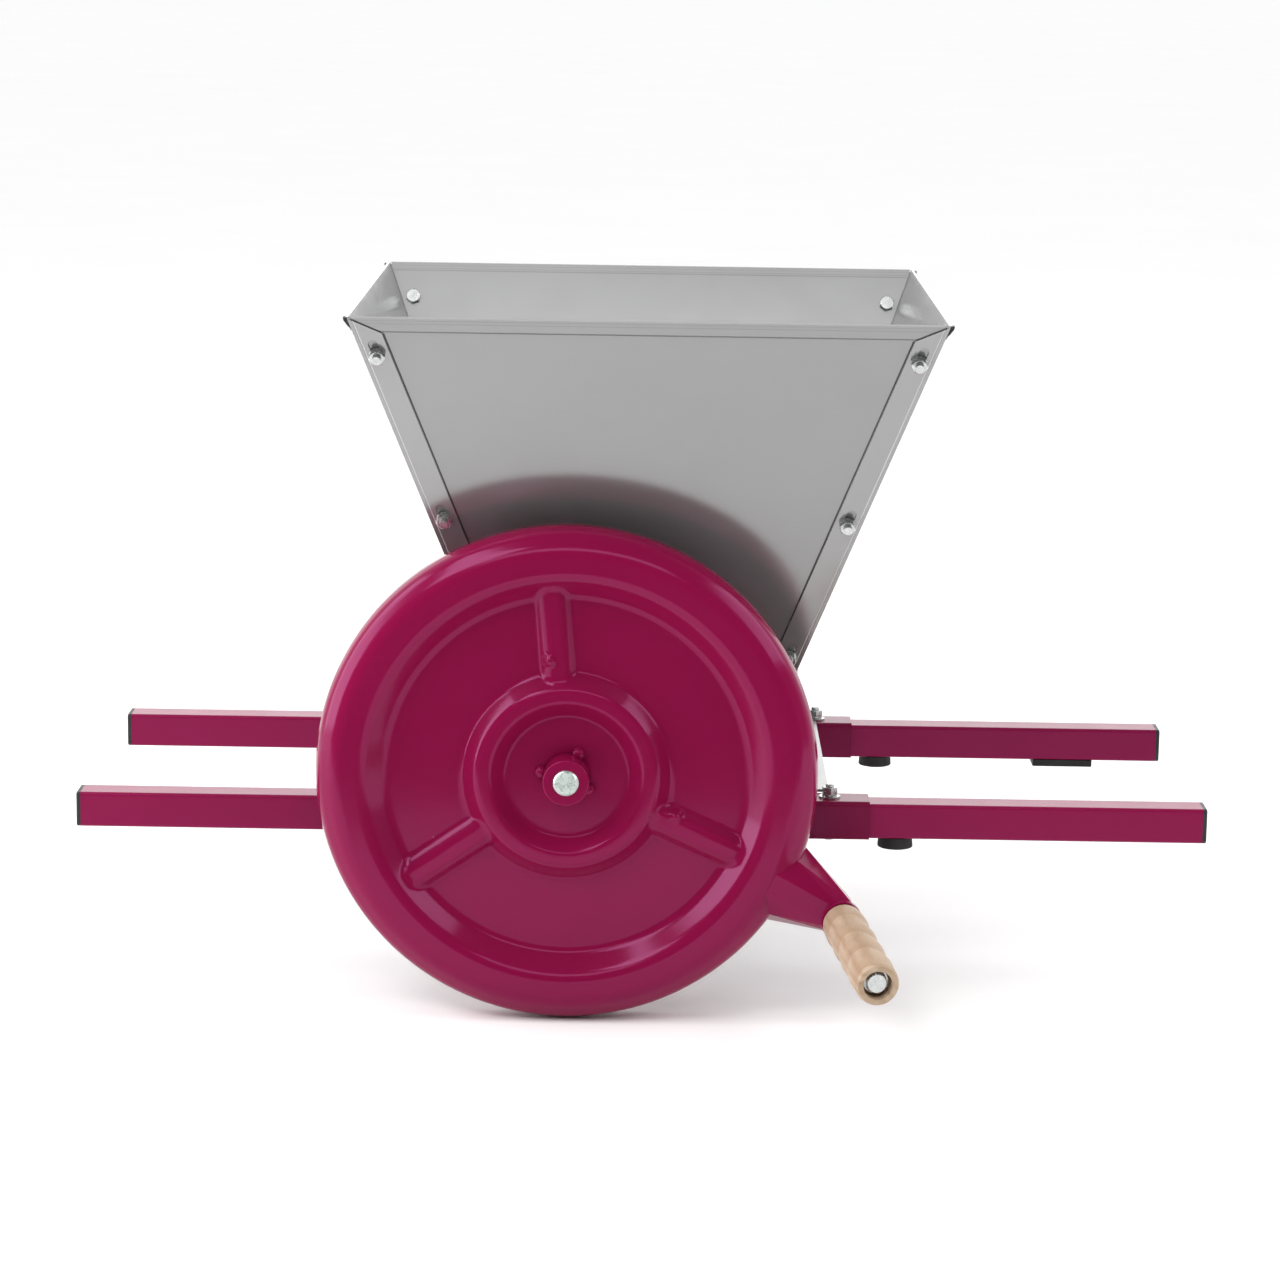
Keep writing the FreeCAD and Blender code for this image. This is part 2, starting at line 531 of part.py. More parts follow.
cs.append(button((0, CY1, POST_Z), (0, -1, 0), 12.0))
cs.append(button((0, hy(HOP_Z0) - SHEET, POST_Z), (0, 1, 0), 14.0))
save("cover_screws", cs)

# ---- rollers, shafts and gears -------------------------------------------
def star(x, y0, phase, thick):
    # crushing disc with eight raked teeth
    n, pts = 8, []
    for i in range(n):
        a = 2 * math.pi * i / n + phase
        for r, da in ((CORE_R + 6.5, 0.0), (TIP_R, 0.06), (TIP_R, 0.17), (CORE_R + 9.0, 0.52), (CORE_R + 6.5, 0.66)):
            pts.append(V(x + r * math.cos(a + da), y0, SHAFT_Z + r * math.sin(a + da)))
    s = Part.Face(Part.makePolygon(pts + [pts[0]])).extrude(V(0, thick, 0))
    return s.cut(ycyl(x, SHAFT_Z, CORE_R, y0 - 1, y0 + thick + 1))


def gear_blank(x, phase):
    rp = GEAR_M * GEAR_Z / 2
    al = math.radians(20)
    rb = rp * math.cos(al)
    ra, rf = rp + GEAR_M * 0.94, rp - GEAR_M * 1.2
    s = math.pi * GEAR_M / 2 - 0.30
    inv = lambda t: math.tan(t) - t
    prof = []
    for k in range(5):
        r = rb + (ra - rb) * k / 4.0
        ar = math.acos(min(1.0, rb / r))
        prof.append((r, s / (2 * rp) + inv(al) - inv(ar)))
    pts = []
    for i in range(GEAR_Z):
        a = 2 * math.pi * i / GEAR_Z + phase
        pts.append((rf, a - prof[0][1] - 0.012))
        for r, h in prof:
            pts.append((r, a - h))
        for r, h in reversed(prof):
            pts.append((r, a + h))
        pts.append((rf, a + prof[0][1] + 0.012))
    p3 = [V(x + r * math.cos(t), GEAR_Y0, SHAFT_Z + r * math.sin(t)) for r, t in pts]
    g_ = Part.Face(Part.makePolygon(p3 + [p3[0]])).extrude(V(0, GEAR_Y1 - GEAR_Y0, 0))
    g_ = g_.fuse(ycyl(x, SHAFT_Z, 16.0, GEAR_Y0 - 4.0, GEAR_Y1 + 4.0))
    # shallow recess in both faces of the web
    for y0, y1 in ((GEAR_Y0 - 1, GEAR_Y0 + 2.5), (GEAR_Y1 - 2.5, GEAR_Y1 + 1)):
        g_ = g_.cut(ycyl(x, SHAFT_Z, 40.0, y0, y1).cut(ycyl(x, SHAFT_Z, 20.0, y0 - 1, y1 + 1)))
    return g_.cut(ycyl(x, SHAFT_Z, SHAFT_R, GEAR_Y0 - 6, GEAR_Y1 + 6))


def shaft(x, y0, y1):
    s = ycyl(x, SHAFT_Z, SHAFT_R, y0, y1)
    s = s.makeChamfer(1.2, [e for e in s.Edges if e.Length < 60 and (abs(e.BoundBox.YMin - y0) < 1e-3 or abs(e.BoundBox.YMin - y1) < 1e-3) and e.BoundBox.YLength < 1e-3])
    return s.cut(ycyl(x, SHAFT_Z, 4.0, y1 - 20, y1 + 1))


def core(x):
    c_ = revolve_y([(SHAFT_R, -ROLL_Y - 9.2, 0), (14.0, -ROLL_Y - 9.2, 0.8), (14.0, -ROLL_Y, 0), (CORE_R, -ROLL_Y, 1.5),
                    (CORE_R, ROLL_Y, 1.5), (14.0, ROLL_Y, 0), (14.0, ROLL_Y + 9.2, 0.8), (SHAFT_R, ROLL_Y + 9.2, 0)], x, SHAFT_Z)
    return c_


G1 = GEAR_Y1 + 4.0
XD, XI = -SHAFT_X, SHAFT_X
key_d = box(XD - 2.5, XD + 2.5, GEAR_Y0 - 2, GEAR_Y1 + 2, SHAFT_Z + SHAFT_R - 3, SHAFT_Z + SHAFT_R + 2.3)
key_i = box(XI - 2.5, XI + 2.5, GEAR_Y0 - 2, GEAR_Y1 + 2, SHAFT_Z + SHAFT_R - 3, SHAFT_Z + SHAFT_R + 2.3)
SH_END = WHEEL_Y - 37.0
COL_Y1 = -148.0
key_w = box(XD - 2.5, XD + 2.5, -200.0, -170.0, SHAFT_Z + SHAFT_R - 3, SHAFT_Z + SHAFT_R + 2.3)
grub = cyl((XD + SHAFT_R, -154.0, SHAFT_Z), (1, 0, 0), 3.0, 6.5)
sd = shaft(XD, SH_END, G1).cut(key_d).cut(key_w)
si = shaft(XI, -127.0, G1).cut(key_i)
save("drive_shaft", sd)
save("idler_shaft", si)
save("drive_roller_core", core(XD))
save("idler_roller_core", core(XI))
save("drive_crushing_discs", [star(XD, -84 + 24 * i - DISC_T / 2, 0.2 * i, DISC_T) for i in range(8)])
save("idler_crushing_discs", [star(XI, -72 + 24 * i - DISC_T / 2, -0.2 * i, DISC_T).mirror(V(XI, 0, 0), V(1, 0, 0)) for i in range(7)])
gd = gear_blank(XD, 0.0).cut(key_d)
gi = gear_blank(XI, 0.0).cut(key_i)
save("drive_gear", gd)
save("idler_gear", gi)
save("drive_keys", [key_d.cut(box(-200, 200, 100, 200, SHAFT_Z + SHAFT_R + 2.2, 200)), key_w.cut(box(-200, 200, -300, 0, SHAFT_Z + SHAFT_R + 2.2, 200))])
save("idler_key", key_i.cut(box(-200, 200, 100, 200, SHAFT_Z + SHAFT_R + 2.2, 200)))
for x, nm in ((XD, "drive"), (XI, "idler")):
    wsh = washer((x, G1, SHAFT_Z), (0, 1, 0), 4.2, 13.0, 2.5)
    bl = ycyl(x, SHAFT_Z, 4.0, G1 - 16.0, G1 + 2.5).fuse(hexagon((x, G1 + 2.5, SHAFT_Z), (0, 1, 0), 13.0, 5.3, 8))
    save("%s_gear_washer" % nm, wsh)
    save("%s_gear_bolt" % nm, bl)
sc_ = washer((XI, -127.0 + 1.0, SHAFT_Z), (0, 1, 0), SHAFT_R, 15.0, 8.0)
sc_ = sc_.cut(cyl((XI, -122.0, SHAFT_Z), (0, 0, 1), 2.5, 20))
save("idler_set_collar", sc_)
gs = cyl((XI, -122.0, SHAFT_Z + SHAFT_R), (0, 0, 1), 2.5, 5.5).cut(hexagon((XI, -122.0, SHAFT_Z + SHAFT_R + 3.6), (0, 0, 1), 2.5, 2.5))
save("idler_collar_screw", gs)

# ---- flywheel -------------------------------------------------------------
def wy(dep):
    return WHEEL_Y - dep


COLLAR_R = 16.25
WHEEL_T = 3.0
FRONT = [(43.5, 13, 5), (53.5, 22.3, 4), (63.0, 22.3, 6), (74.0, 11, 6), (127.0, 11, 8), (142.0, 25, 7),
         (161.0, 25, 10), (173.0, 13, 12), (176.0, 0, 9)]
BACK = [(44.8, 10, 4), (54.9, 19.3, 4), (61.6, 19.3, 4), (72.6, 8, 6), (128.3, 8, 6), (143.3, 22, 5),
        (159.8, 22, 8), (170.2, 11.6, 10), (173.0, 0, 7)]
prof = [(COLLAR_R, wy(13), 0)] + [(r, wy(d), c) for r, d, c in FRONT] + [(174.2, wy(-8.5), 0.8), (171.3, wy(-8.0), 0.8)]
prof += [(r, wy(d), c) for r, d, c in reversed(BACK)] + [(COLLAR_R, wy(10), 0)]
fw = revolve_y(prof, XD, SHAFT_Z)
# everything in front of the sheet's back face, to trim the ribs with
fr = [(COLLAR_R, wy(10), 0)] + [(r, wy(d), c) for r, d, c in BACK] + [(173.0, wy(60), 0), (COLLAR_R, wy(60), 0)]
front_side = revolve_y(fr, XD, SHAFT_Z)
RIB_A = (95.0, 214.5, 335.6)
RIB_R, RIB_D = 13.8, 4.2        # a rib is part of a cylinder lying along a radius
for a in RIB_A:
    ca, sa = math.cos(math.radians(a)), math.sin(math.radians(a))
    p0 = V(XD + 62 * ca, wy(RIB_D), SHAFT_Z + 62 * sa)
    rib = Part.makeCylinder(RIB_R, 76, p0, V(ca, 0, sa)).common(front_side)
    p1 = V(XD + 72 * ca, wy(RIB_D), SHAFT_Z + 72 * sa)
    fw = fw.fuse(rib).cut(Part.makeCylinder(RIB_R - WHEEL_T, 57.5, p1, V(ca, 0, sa)))
for rr, aa in ((77.5, 100.4), (86.0, 341.4)):
    t = math.radians(aa)
    fw = fw.fuse(Part.makeSphere(4.4, V(XD + rr * math.cos(t), wy(11.6), SHAFT_Z + rr * math.sin(t))).common(front_side))
fw = fw.removeSplitter()

fw = fw.cut(ycyl(XD, SHAFT_Z, COLLAR_R, -230, -140))
save("flywheel", fw)

# crank lug: a faceted arm welded to the rim, ending in the handle seat
HB_ = HANDLE_BASE
hd_ = (HANDLE_TIP - HANDLE_BASE)
H_LEN = hd_.Length
hd_.normalize()
la = math.atan2(HB_.z - SHAFT_Z, HB_.x - XD)
er, et = V(math.cos(la), 0, math.sin(la)), V(-math.sin(la), 0, math.cos(la))
LUG_A = [(-17.0, 175.0, -4.0), (-19.0, 168.0, 17.0), (-24.0, 161.0, 25.0), (-29.5, 161.0, 25.0), (-34.5, 168.0, 17.0), (-37.0, 175.0, -4.0)]
LUG_B = [(14.0, -179.0), (14.4, -192.0), (7.0, -197.6), (-5.5, -197.6), (-10.2, -192.0), (-10.0, -179.0)]
SEAT_R = 14.6
SEAT_T = 18.5


def hull(pts):
    # convex solid through the given points, one flat face per supporting plane
    mid = V(0, 0, 0)
    for p in pts:
        mid += p
    mid *= 1.0 / len(pts)
    faces, seen = [], []
    n_ = len(pts)
    for a in range(n_):
        for b in range(a + 1, n_):
            for c in range(b + 1, n_):
                nn = (pts[b] - pts[a]).cross(pts[c] - pts[a])
                if nn.Length < 1e-6:
                    continue
                nn.normalize()
                if (mid - pts[a]).dot(nn) > 0:
                    nn = nn * -1
                dd = [(p - pts[a]).dot(nn) for p in pts]
                if max(dd) > 1e-4:
                    continue
                on = tuple(q for q in range(n_) if abs(dd[q]) < 1e-4)
                if on in seen:
                    continue
                seen.append(on)
                cc = V(0, 0, 0)
                for q in on:
                    cc += pts[q]
                cc *= 1.0 / len(on)
                e1 = pts[on[0]] - cc
                e1.normalize()
                e2 = nn.cross(e1)
                ring = sorted(on, key=lambda q: math.atan2((pts[q] - cc).dot(e2), (pts[q] - cc).dot(e1)))
                faces.append(Part.Face(Part.makePolygon([pts[q] for q in ring] + [pts[ring[0]]])))
    sol = Part.Solid(Part.makeShell(faces))
    if sol.Volume < 0:
        sol.reverse()
    return sol


wa = [V(XD + r * math.cos(math.radians(a)), wy(d), SHAFT_Z + r * math.sin(math.radians(a))) for a, r, d in LUG_A]
wb_ = [V(HB_.x, y, HB_.z) + et * t for t, y in LUG_B]
lug = hull(wa + wb_)
seatc = Part.makeCylinder(SEAT_R, 7.0, HB_, -hd_)
cut_front = Part.makeCylinder(60, 40, HB_, hd_)
cut_back = Part.makeCylinder(12.0, 20, HB_ - hd_ * SEAT_T, -hd_)
bolt_hole = Part.makeCylinder(4.2, 60, HB_ - hd_ * 40, hd_)
rim_fill = revolve_y([(127.0, wy(11.0), 0)] + [(r, wy(d), c) for r, d, c in FRONT[5:]] + [(176.0, wy(-9.0), 0), (127.0, wy(-9.0), 0)], XD, SHAFT_Z)
lug = lug.fuse(seatc).cut(cut_front).cut(rim_fill)
lug = max(lug.Solids, key=lambda k_: k_.Volume)
lug = lug.cut(bolt_hole).cut(cut_back)
lug = max(lug.Solids, key=lambda k_: k_.Volume)
save("crank_lug", lug)

col = revolve_y([(SHAFT_R, WHEEL_Y - 36.0, 0.6), (COLLAR_R, WHEEL_Y - 36.0, 1.2), (COLLAR_R, COL_Y1, 1.0), (SHAFT_R, COL_Y1, 0.5)], XD, SHAFT_Z)
wb = []
for a in (171.0, 63.5, -30.5):
    t = math.radians(a)
    s = Part.makeSphere(4.6, V(XD + 18.2 * math.cos(t), wy(13.6), SHAFT_Z + 18.2 * math.sin(t)))
    s = s.cut(ycyl(XD, SHAFT_Z, 60, wy(13), -140))
    wb.append(s)
col = col.fuse(wb).cut(ycyl(XD, SHAFT_Z, SHAFT_R, -230, -140))
col = col.cut(key_w).cut(cyl((XD + SHAFT_R, -154.0, SHAFT_Z), (1, 0, 0), 3.0, 20))
save("hub_collar", col)
save("hub_grub_screw", grub.cut(hexagon((XD + SHAFT_R + 4.3, -154.0, SHAFT_Z), (1, 0, 0), 3.0, 2.5)))

# ---- handle ---------------------------------------------------------------
G0 = 1.3                # the grip starts past a thin washer on the seat
GL = H_LEN
BORE = 4.0 + BUSH_FIT
_, hu, hv = axes_of(tuple(hd_))


def h3(r, s):
    return HB_ + hd_ * s + hu * r


gp = [(0.0, 12.8), (1.6, 14.3), (6.0, 14.9), (17.0, 15.3), (24.0, 14.9), (31.0, 14.4), (38.0, 14.8), (45.0, 15.3), (52.0, 14.9),
      (59.0, 14.4), (66.0, 14.8), (73.0, 15.3), (80.0, 14.9), (87.0, 14.4), (94.0, 14.8), (101.0, 15.3), (109.0, 15.0), (116.0, 14.8),
      (121.5, 14.7), (123.8, 13.9)]
GLEN = GL - G0
k = (GLEN - 1.2) / 123.8
outer = [h3(r, G0 + s * k) for s, r in gp]
bs_ = Part.BSplineCurve()
bs_.interpolate(outer)
R1 = 9.8                # recess for the bolt head
RD = 11.6
end_r = gp[-1][1] - 1.2
edges = [bs_.toShape(),
         Part.Arc(outer[-1], h3(end_r + 0.85, GL - 0.35), h3(end_r, GL)).toShape(),
         Part.LineSegment(h3(end_r, GL), h3(R1, GL)).toShape(),
         Part.LineSegment(h3(R1, GL), h3(R1, GL - RD)).toShape(),
         Part.LineSegment(h3(R1, GL - RD), h3(BORE, GL - RD)).toShape(),
         Part.LineSegment(h3(BORE, GL - RD), h3(BORE, G0)).toShape(),
         Part.LineSegment(h3(BORE, G0), outer[0]).toShape()]
grip = Part.Face(Part.Wire(edges)).revolve(HB_, hd_, 360)
save("wooden_grip", grip)

s_head = GL - RD + 0.3 + 1.6
hb_bolt = Part.makeCylinder(4.0, s_head + 18.5 + 9.0, HB_ - hd_ * 27.5, hd_)
hb_bolt = hb_bolt.fuse(hexagon(tuple(HB_ + hd_ * s_head), tuple(hd_), 13.0, 5.3, 10))
save("handle_bolt", hb_bolt)
hw = Part.makeCylinder(8.4, 1.6, HB_ + hd_ * (GL - RD + 0.3), hd_).cut(Part.makeCylinder(4.0, 10, HB_ + hd_ * (GL - RD - 3), hd_))
hw2 = Part.makeCylinder(9.0, G0 - 0.3, HB_, hd_).cut(Part.makeCylinder(4.0, 10, HB_ - hd_ * 2, hd_))
save("handle_washers", [hw, hw2])
hn_ = hexagon(tuple(HB_ - hd_ * 18.5), tuple(-hd_), 13.0, 6.5, 10).cut(Part.makeCylinder(4.0, 60, HB_ - hd_ * 50, hd_))
save("handle_nut", hn_)
print("handle axis", tuple(round(c_, 5) for c_ in hd_), "length", round(H_LEN, 2))
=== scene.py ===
import bpy
import bmesh
import json
import math
from mathutils import Vector, Matrix


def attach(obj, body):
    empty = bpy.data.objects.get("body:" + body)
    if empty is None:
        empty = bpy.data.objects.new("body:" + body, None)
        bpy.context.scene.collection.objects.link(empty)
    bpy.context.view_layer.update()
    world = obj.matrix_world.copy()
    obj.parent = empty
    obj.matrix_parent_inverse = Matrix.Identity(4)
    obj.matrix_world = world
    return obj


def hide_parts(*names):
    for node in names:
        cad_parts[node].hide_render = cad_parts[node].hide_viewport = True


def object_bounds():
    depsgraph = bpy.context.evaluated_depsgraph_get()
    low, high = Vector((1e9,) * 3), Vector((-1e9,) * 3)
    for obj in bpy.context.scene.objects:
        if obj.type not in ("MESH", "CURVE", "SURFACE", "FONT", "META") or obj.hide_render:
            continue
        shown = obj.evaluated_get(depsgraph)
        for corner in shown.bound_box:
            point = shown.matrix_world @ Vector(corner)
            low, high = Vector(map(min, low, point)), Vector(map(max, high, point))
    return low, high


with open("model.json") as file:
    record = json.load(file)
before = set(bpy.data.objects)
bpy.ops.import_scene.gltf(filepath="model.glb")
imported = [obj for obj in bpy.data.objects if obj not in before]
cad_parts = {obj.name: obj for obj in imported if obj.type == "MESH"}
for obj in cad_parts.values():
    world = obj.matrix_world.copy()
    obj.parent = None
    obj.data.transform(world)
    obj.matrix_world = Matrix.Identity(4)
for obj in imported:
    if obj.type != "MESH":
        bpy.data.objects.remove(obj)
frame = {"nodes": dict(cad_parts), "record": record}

cad_box = [list(map(float, p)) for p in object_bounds()]
nodes = frame["nodes"]
scene = bpy.context.scene
scene.view_settings.view_transform = "Standard"
scene.view_settings.look = "None"

# shaft and wheel, metres
XD, ZS, YW = -0.0525, 0.0608, -0.172
MM = 0.001


# ---------------------------------------------------------------- materials
class Mat:
    def __init__(self, name):
        self.m = bpy.data.materials.new(name)
        self.m.use_nodes = True
        self.nt = self.m.node_tree
        self.nt.nodes.clear()
        self.out = self.n("ShaderNodeOutputMaterial")
        self.b = self.n("ShaderNodeBsdfPrincipled")
        self.link(self.b.outputs[0], self.out.inputs[0])
        self.tc = self.n("ShaderNodeTexCoord")
        self.obj = self.tc.outputs["Object"]
        self.height = None

    def n(self, kind, **props):
        x = self.nt.nodes.new(kind)
        for k, v in props.items():
            setattr(x, k, v)
        return x

    def link(self, a, b):
        self.nt.links.new(a, b)

    def const(self, **kw):
        for k, v in kw.items():
            self.b.inputs[k.replace("_", " ")].default_value = v

    def mapped(self, scale=(1, 1, 1), rot=(0, 0, 0), loc=(0, 0, 0), src=None):
        x = self.n("ShaderNodeMapping")
        x.inputs["Scale"].default_value = scale
        x.inputs["Rotation"].default_value = rot
        x.inputs["Location"].default_value = loc
        self.link(src or self.obj, x.inputs["Vector"])
        return x.outputs[0]

    def noise(self, scale, detail=3.0, rough=0.55, distortion=0.0, src=None):
        x = self.n("ShaderNodeTexNoise")
        x.inputs["Scale"].default_value = scale
        x.inputs["Detail"].default_value = detail
        x.inputs["Roughness"].default_value = rough
        x.inputs["Distortion"].default_value = distortion
        self.link(src or self.obj, x.inputs["Vector"])
        return x.outputs["Fac"]

    def ramp(self, fac, stops):
        x = self.n("ShaderNodeValToRGB")
        e = x.color_ramp.elements
        while len(e) < len(stops):
            e.new(0.5)
        for i, (p, c) in enumerate(stops):
            e[i].position = p
            e[i].color = (c[0], c[1], c[2], 1.0) if isinstance(c, (tuple, list)) else (c, c, c, 1.0)
        self.link(fac, x.inputs[0])
        return x.outputs[0]

    def math(self, op, a, b=None, clamp=False):
        x = self.n("ShaderNodeMath", operation=op, use_clamp=clamp)
        for i, v in enumerate((a, b)):
            if v is None:
                continue
            if hasattr(v, "is_linked") or hasattr(v, "links"):
                self.link(v, x.inputs[i])
            else:
                x.inputs[i].default_value = v
        return x.outputs[0]

    def rng(self, v, a, b, c, d, smooth=False):
        x = self.n("ShaderNodeMapRange")
        x.interpolation_type = "SMOOTHSTEP" if smooth else "LINEAR"
        for i, q in enumerate((a, b, c, d)):
            x.inputs[i + 1].default_value = q
        self.link(v, x.inputs[0])
        return x.outputs[0]

    def mix(self, fac, a, b, blend="MIX"):
        x = self.n("ShaderNodeMix", data_type="RGBA", blend_type=blend)
        for s, v in ((x.inputs[0], fac), (x.inputs[6], a), (x.inputs[7], b)):
            if hasattr(v, "links"):
                self.link(v, s)
            elif isinstance(v, (tuple, list)):
                s.default_value = (v[0], v[1], v[2], 1.0)
            else:
                s.default_value = v
        return x.outputs[2]

    def bump(self, h, strength, dist):
        x = self.n("ShaderNodeBump")
        x.inputs["Strength"].default_value = strength
        x.inputs["Distance"].default_value = dist
        self.link(h, x.inputs["Height"])
        if self.height is not None:
            self.link(self.height, x.inputs["Normal"])
        self.height = x.outputs[0]
        self.link(self.height, self.b.inputs["Normal"])

    def color(self, c):
        self.link(c, self.b.inputs["Base Color"])

    def rough(self, r):
        self.link(r, self.b.inputs["Roughness"])


def axis_split(M, src=None):
    s = M.n("ShaderNodeSeparateXYZ")
    M.link(src or M.obj, s.inputs[0])
    return s.outputs


def paint(name, base, spec=0.3, r=(0.20, 0.30), peel=0.10, wear=0.5):
    M = Mat(name)
    tone = M.noise(5.0, 3.0, 0.5)
    c = M.ramp(tone, [(0.3, tuple(k * 0.95 for k in base)), (0.7, tuple(k * 1.05 for k in base))])
    if wear:
        # a few tiny chips and specks of dust in the coat
        v = M.n("ShaderNodeTexVoronoi", feature="F1")
        v.inputs["Scale"].default_value = 42.0
        M.link(M.obj, v.inputs["Vector"])
        spot = M.rng(v.outputs["Distance"], 0.0, 0.035, 1.0, 0.0)
        rare = M.rng(M.noise(19.0, 1.0), 0.60, 0.64, 0.0, 1.0)
        f = M.math("MULTIPLY", spot, rare, True)
        c = M.mix(M.math("MULTIPLY", f, wear), c, (0.55, 0.30, 0.40))
    M.color(c)
    M.rough(M.rng(M.noise(38.0, 4.0, 0.6), 0.3, 0.7, r[0], r[1]))
    M.const(Metallic=0.0, Specular_IOR_Level=spec, Specular_Tint=(1.0, 0.45, 0.92, 1.0))
    M.bump(M.noise(420.0, 2.0, 0.5), peel, 0.00025)
    M.bump(M.noise(14.0, 1.0, 0.4), 0.07, 0.0012)
    return M


MAROON = (0.220, 0.0046, 0.047)
m_wheel = paint("maroon_enamel_wheel", MAROON, spec=0.34, r=(0.11, 0.16), peel=0.03)
m_rail = paint("maroon_powder_coat", MAROON, spec=0.30, r=(0.19, 0.25), peel=0.08, wear=0.0)
m_chan = paint("maroon_powder_coat_sleeve", (0.160, 0.0042, 0.033), spec=0.26, r=(0.20, 0.27), peel=0.08, wear=0.0)


def stainless(name, base=0.300, r=(0.15, 0.185), streak="x", lines_at=None):
    M = Mat(name)
    sc = {"x": (4.0, 260.0, 260.0), "y": (260.0, 4.0, 260.0), "z": (260.0, 260.0, 4.0)}[streak]
    lines = M.noise(5.0, 4.0, 0.6, 0.0, M.mapped(sc))
    cloud = M.noise(5.5, 4.0, 0.6)
    smear = M.noise(13.0, 3.0, 0.6, 1.2)
    c1 = M.ramp(cloud, [(0.3, (base * 0.965, base * 0.965, base * 0.97)), (0.7, (base * 1.03, base * 1.03, base * 1.03))])
    c2 = M.ramp(lines, [(0.3, 0.975), (0.7, 1.0)])
    c = M.mix(1.0, c1, c2, "MULTIPLY")
    rr = M.math("ADD", M.rng(lines, 0.3, 0.7, r[0], r[1]), M.rng(smear, 0.45, 0.78, 0.0, 0.035))
    if lines_at:
        c, groove = lines_at(M, c)
        M.color(c)
        M.bump(groove, 0.6, 0.0004)
    else:
        M.color(c)
    M.rough(rr)
    M.const(Metallic=0.61, Specular_IOR_Level=0.32)
    M.bump(lines, 0.03, 0.00008)
    M.bump(M.noise(4.0, 2.0, 0.4), 0.08, 0.0014)
    return M


def band(M, v, centre, half):
    # 1 on the line, falling to 0 over its half width
    return M.rng(M.math("ABSOLUTE", M.math("SUBTRACT", v, centre)), half * 0.35, half, 1.0, 0.0, True)


RIM_HX, RIM_Z, SX = 0.2047, 0.3805, 0.368


def hem_and_joint_painted_shade(M, c):
    # painted shade lines along the hem's rolled top and a painted shadow line under its lower edge, and a painted
    # shadow where the panels join beside the side panels' flanges; the same masks also cut a shallow groove bump
    ax = axis_split(M)
    wall = M.math("ADD", M.math("MULTIPLY", M.math("SUBTRACT", ax[2], RIM_Z), 0.36), 0.197 - 0.0006)
    outer = M.rng(M.math("SUBTRACT", M.math("ABSOLUTE", ax[1]), wall), 0.0, 0.0003, 0.0, 1.0)
    inner = M.math("SUBTRACT", 1.0, outer)
    hem = band(M, ax[2], RIM_Z - 0.0099, 0.0005)
    fold_shade = M.math("ADD", band(M, ax[2], RIM_Z - 0.0042, 0.0005), band(M, ax[2], RIM_Z - 0.0020, 0.0004), True)
    half = M.math("ADD", M.math("MULTIPLY", M.math("SUBTRACT", ax[2], RIM_Z), SX), RIM_HX - 0.0204)
    off = M.math("SUBTRACT", half, M.math("ABSOLUTE", ax[0]))
    joint_shadow = band(M, off, 0.0, 0.0008)
    low = M.rng(ax[2], RIM_Z - 0.0120, RIM_Z - 0.0095, 1.0, 0.0)
    joint_shadow = M.math("MULTIPLY", M.math("MULTIPLY", joint_shadow, low), outer)
    # painted shadow beside the flanges, where the panels join
    c = M.mix(M.math("MULTIPLY", joint_shadow, 0.9), c, (0.04, 0.04, 0.04))
    inner_fold_shade = M.math("MULTIPLY", M.math("MULTIPLY", band(M, ax[2], RIM_Z - 0.0056, 0.0006), inner), 0.35)
    hem = M.math("MULTIPLY", hem, outer)
    painted_shade_lines = M.math("ADD", M.math("MULTIPLY", hem, 0.40), M.math("ADD", M.math("MULTIPLY", fold_shade, 0.20), inner_fold_shade), True)
    # painted shade lines under the hem and along its rolled top, outside and inside
    c = M.mix(painted_shade_lines, c, (0.10, 0.10, 0.10))
    return c, M.math("SUBTRACT", 1.0, M.math("ADD", hem, joint_shadow, True))


def inside_painted_light(M, c):
    # painted light: the side panels' inner faces are lightened towards pale grey, the left panel more than the right,
    # and a painted highlight runs along the bent edge beside each flange
    ax = axis_split(M)
    wall = M.math("ADD", M.math("MULTIPLY", M.math("SUBTRACT", ax[2], RIM_Z), SX), RIM_HX - 0.0006)
    inside = M.rng(M.math("SUBTRACT", wall, M.math("ABSOLUTE", ax[0])), 0.0, 0.0003, 0.0, 1.0)
    front = M.math("ADD", M.math("MULTIPLY", M.math("SUBTRACT", ax[2], RIM_Z), 0.36), 0.197 - 0.0016)
    not_flange = M.rng(M.math("SUBTRACT", front, M.math("ABSOLUTE", ax[1])), 0.0, 0.0003, 0.0, 1.0)
    k = M.math("MULTIPLY", inside, not_flange)
    # the left panel's inner face gets more of the painted light
    left = M.rng(ax[0], -0.01, 0.01, 1.0, 0.55)
    c = M.mix(M.math("MULTIPLY", k, left), c, (0.90, 0.90, 0.90))
    # painted shade along the inside corner where the panels meet
    seam_shade = M.math("MULTIPLY", band(M, M.math("SUBTRACT", front, M.math("ABSOLUTE", ax[1])), 0.0012, 0.0012), inside)
    c = M.mix(M.math("MULTIPLY", seam_shade, 0.6), c, (0.08, 0.08, 0.08))
    # painted highlight along the bent edge beside each flange
    bend_highlight = M.math("MULTIPLY", band(M, M.math("SUBTRACT", M.math("ADD", wall, 0.0006), M.math("ABSOLUTE", ax[0])), 0.0030, 0.0006), M.math("SUBTRACT", 1.0, not_flange))
    c = M.mix(M.math("MULTIPLY", bend_highlight, 0.35), c, (0.85, 0.85, 0.85))
    return c, M.math("SUBTRACT", 1.0, M.math("ADD", seam_shade, bend_highlight, True))


# front and back panels: the sheet carries the painted shade lines at the hem and flange joints
m_sheet = stainless("satin_stainless_sheet", lines_at=hem_and_joint_painted_shade)
